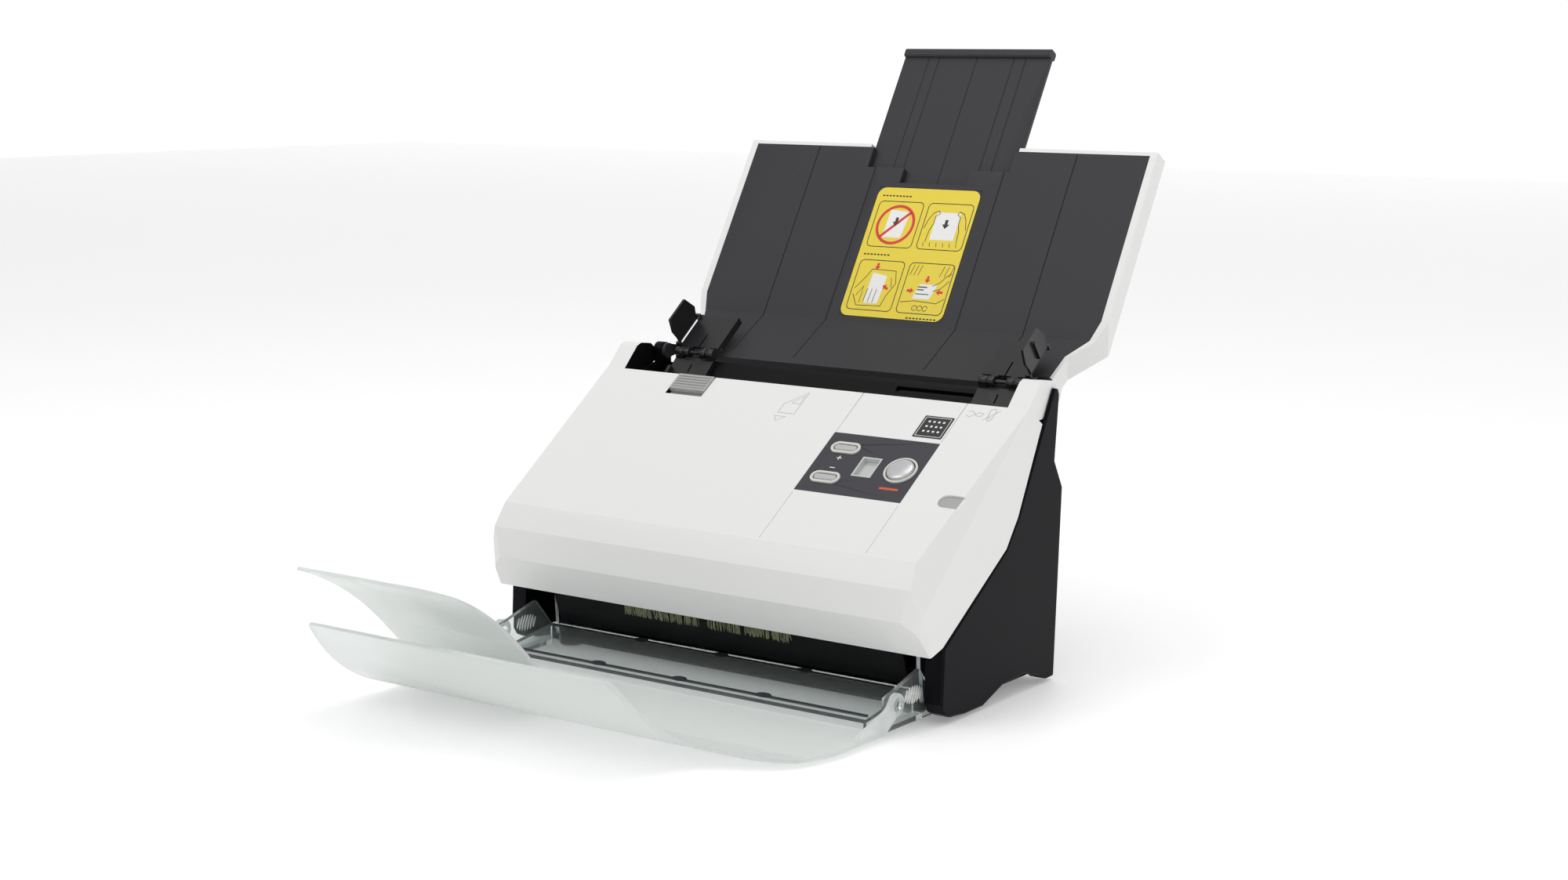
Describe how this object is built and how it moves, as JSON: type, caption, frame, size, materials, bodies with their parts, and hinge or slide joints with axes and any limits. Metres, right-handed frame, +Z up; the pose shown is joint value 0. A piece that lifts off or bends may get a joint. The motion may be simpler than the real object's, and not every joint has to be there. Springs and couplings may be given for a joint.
{
  "type": "sheet fed document scanner",
  "caption": "Desktop sheet fed document scanner with fold-out paper chute, sliding side guides, hinged front cover with controls and a hinged clear output tray with paper stop.",
  "frame": {"origin": "on the floor under the centre of the whole opened-out machine's box", "axes": "+X to the right seen from the front, +Y to the rear, +Z up"},
  "size_m": [0.3186, 0.5014, 0.3729],
  "materials": {
    "white_shell": "fine satin texture",
    "black_shell": "fine satin texture",
    "charcoal": "fine matt texture",
    "black_inner": "matt",
    "steel": "brushed",
    "roller_rubber": "matt, ground",
    "belt_rubber": "matt",
    "bush_brass": "turned",
    "board": "solder mask",
    "sensor_black": "matt",
    "sensor_glass": "clear",
    "socket_black": "matt",
    "foot_rubber": "matt",
    "screw_steel": "dark plated",
    "clear_tray": "clear moulded plastic",
    "frosted_tray": "frosted moulded plastic",
    "slate_panel": "satin",
    "cream_ring": "satin",
    "pearl_button": "pearl",
    "window_grey": "satin",
    "latch_grey": "satin",
    "brush_fibre": "fine fibre",
    "label_yellow": "printed film",
    "nylon": "natural"
  },
  "bodies": {
    "base": {"bottom_pan": "black_shell", "right_side_cover": "black_shell", "left_side_cover": "black_shell", "rear_cover": "black_shell", "lower_guide": "black_inner", "right_frame_plate": "steel", "left_frame_plate": "steel", "shaft_bushes": "bush_brass", "main_board": "board", "drive_motor": "steel", "drive_belts": "belt_rubber", "lower_sensor": "sensor_black", "lower_sensor_glass": "sensor_glass", "power_inlet": "socket_black", "usb_socket": "socket_black", "rubber_feet": "foot_rubber", "housing_screws": "screw_steel", "output_tray": "clear_tray"},
    "feed_roller": {"feed_roller_shaft": "steel", "feed_roller_tyres": "roller_rubber"},
    "drive_roller": {"drive_roller_shaft": "steel", "drive_roller_tyres": "roller_rubber"},
    "exit_roller": {"exit_roller_shaft": "steel", "exit_roller_tyres": "roller_rubber"},
    "motor_shaft": {"motor_shaft": "steel"},
    "front_cover": {"front_cover": "white_shell", "cover_frame": "black_inner", "upper_sensor": "sensor_black", "upper_sensor_glass": "sensor_glass", "control_panel": "slate_panel", "button_rings": "cream_ring", "display_window": "window_grey", "button_board": "board", "exit_brush": "brush_fibre"},
    "separation_roller": {"separation_roller_shaft": "steel", "separation_roller_tyres": "roller_rubber"},
    "drive_pinch": {"drive_pinch_shaft": "steel", "drive_pinch_tyres": "roller_rubber"},
    "exit_pinch": {"exit_pinch_shaft": "steel", "exit_pinch_tyres": "roller_rubber"},
    "scan_button": {"scan_button": "pearl_button"},
    "plus_button": {"plus_button": "pearl_button"},
    "minus_button": {"minus_button": "pearl_button"},
    "cover_latch": {"cover_latch": "latch_grey"},
    "chute": {"chute_panel": "charcoal", "chute_shell": "white_shell", "chute_label": "label_yellow"},
    "chute_extension": {"chute_extension": "charcoal"},
    "right_guide": {"right_guide": "charcoal"},
    "left_guide": {"left_guide": "charcoal"},
    "guide_pinion": {"guide_pinion": "nylon"},
    "right_guide_plate": {"right_guide_plate": "charcoal"},
    "left_guide_plate": {"left_guide_plate": "charcoal"},
    "right_guide_ear": {"right_guide_ear": "charcoal"},
    "left_guide_ear": {"left_guide_ear": "charcoal"},
    "tray_extension": {"tray_extension": "frosted_tray", "stop_pin": "steel"},
    "paper_stop": {"paper_stop": "frosted_tray"}
  },
  "joints": [
    {"name": "drive_roller_spin", "type": "hinge", "parent": "base", "child": "drive_roller", "pos_m": [0, 0.02785, 0.09676], "axis": [1, 0, 0], "continuous": true},
    {"name": "feed_roller_spin", "type": "hinge", "parent": "base", "child": "feed_roller", "pos_m": [0, 0.05331, 0.11797], "axis": [1, 0, 0], "continuous": true},
    {"name": "exit_roller_spin", "type": "hinge", "parent": "base", "child": "exit_roller", "pos_m": [0, -0.01882, 0.05151], "axis": [1, 0, 0], "continuous": true},
    {"name": "motor_spin", "type": "hinge", "parent": "base", "child": "motor_shaft", "pos_m": [-0.14, 0.05866, 0.058], "axis": [1, 0, 0], "continuous": true},
    {"name": "front_cover_hinge", "type": "hinge", "parent": "base", "child": "front_cover", "pos_m": [0, -0.05584, 0.046], "axis": [-1, 0, 0], "range_deg": [-75, 0]},
    {"name": "separation_roller_spin", "type": "hinge", "parent": "front_cover", "child": "separation_roller", "pos_m": [0, 0.03605, 0.13523], "axis": [1, 0, 0], "continuous": true},
    {"name": "drive_pinch_spin", "type": "hinge", "parent": "front_cover", "child": "drive_pinch", "pos_m": [0, 0.01555, 0.10906], "axis": [1, 0, 0], "continuous": true},
    {"name": "exit_pinch_spin", "type": "hinge", "parent": "front_cover", "child": "exit_pinch", "pos_m": [0, -0.02971, 0.0624], "axis": [1, 0, 0], "continuous": true},
    {"name": "scan_button_press", "type": "slide", "parent": "front_cover", "child": "scan_button", "axis": [0, 0.5519, -0.8339], "range_m": [0, 0.0012], "stiffness_N_per_m": 400, "springref_m": -0.0005},
    {"name": "plus_button_press", "type": "slide", "parent": "front_cover", "child": "plus_button", "axis": [0, 0.5519, -0.8339], "range_m": [0, 0.0012], "stiffness_N_per_m": 400, "springref_m": -0.0005},
    {"name": "minus_button_press", "type": "slide", "parent": "front_cover", "child": "minus_button", "axis": [0, 0.5519, -0.8339], "range_m": [0, 0.0012], "stiffness_N_per_m": 400, "springref_m": -0.0005},
    {"name": "cover_latch_slide", "type": "slide", "parent": "front_cover", "child": "cover_latch", "axis": [0, -0.8339, -0.5519], "range_m": [0, 0.004], "stiffness_N_per_m": 300, "springref_m": -0.001},
    {"name": "chute_hinge", "type": "hinge", "parent": "base", "child": "chute", "pos_m": [0, 0.08556, 0.175], "axis": [1, 0, 0], "range_deg": [0, 154.5]},
    {"name": "chute_extension_slide", "type": "slide", "parent": "chute", "child": "chute_extension", "axis": [0, -0.515, -0.8572], "range_m": [0, 0.068]},
    {"name": "right_guide_slide", "type": "slide", "parent": "base", "child": "right_guide", "axis": [1, 0, 0], "range_m": [-0.066, 0]},
    {"name": "left_guide_slide", "type": "slide", "parent": "base", "child": "left_guide", "axis": [-1, 0, 0], "range_m": [-0.066, 0]},
    {"name": "guide_pinion_spin", "type": "hinge", "parent": "base", "child": "guide_pinion", "pos_m": [0, 0.08011, 0.1534], "axis": [0, -0.7071, 0.7071], "range_deg": [-10, 480]},
    {"name": "right_guide_plate_hinge", "type": "hinge", "parent": "right_guide", "child": "right_guide_plate", "pos_m": [0, 0.08556, 0.175], "axis": [1, 0, 0], "range_deg": [0, 154.5]},
    {"name": "left_guide_plate_hinge", "type": "hinge", "parent": "left_guide", "child": "left_guide_plate", "pos_m": [0, 0.08556, 0.175], "axis": [1, 0, 0], "range_deg": [0, 154.5]},
    {"name": "right_ear_hinge", "type": "hinge", "parent": "right_guide_plate", "child": "right_guide_ear", "pos_m": [0.1325, 0.09739, 0.18702], "axis": [0, -0.789, -0.6144], "range_deg": [0, 88]},
    {"name": "left_ear_hinge", "type": "hinge", "parent": "left_guide_plate", "child": "left_guide_ear", "pos_m": [-0.1325, 0.09739, 0.18702], "axis": [0, 0.789, 0.6144], "range_deg": [0, 88]},
    {"name": "tray_extension_hinge", "type": "hinge", "parent": "base", "child": "tray_extension", "pos_m": [0, -0.07544, 0.0163], "axis": [-1, 0, 0], "range_deg": [0, 72]},
    {"name": "paper_stop_hinge", "type": "hinge", "parent": "tray_extension", "child": "paper_stop", "pos_m": [0, -0.14284, 0.008], "axis": [1, 0, 0], "range_deg": [0, 12]}
  ],
  "couplings": [
    {"joint": "feed_roller_spin", "follows": "drive_roller_spin", "ratio": 1},
    {"joint": "exit_roller_spin", "follows": "drive_roller_spin", "ratio": 1},
    {"joint": "motor_spin", "follows": "drive_roller_spin", "ratio": 1},
    {"joint": "left_guide_slide", "follows": "right_guide_slide", "ratio": 1},
    {"joint": "guide_pinion_spin", "follows": "right_guide_slide", "rad_per_m": -125},
    {"joint": "right_guide_plate_hinge", "follows": "chute_hinge", "ratio": 1},
    {"joint": "left_guide_plate_hinge", "follows": "chute_hinge", "ratio": 1}
  ]
}
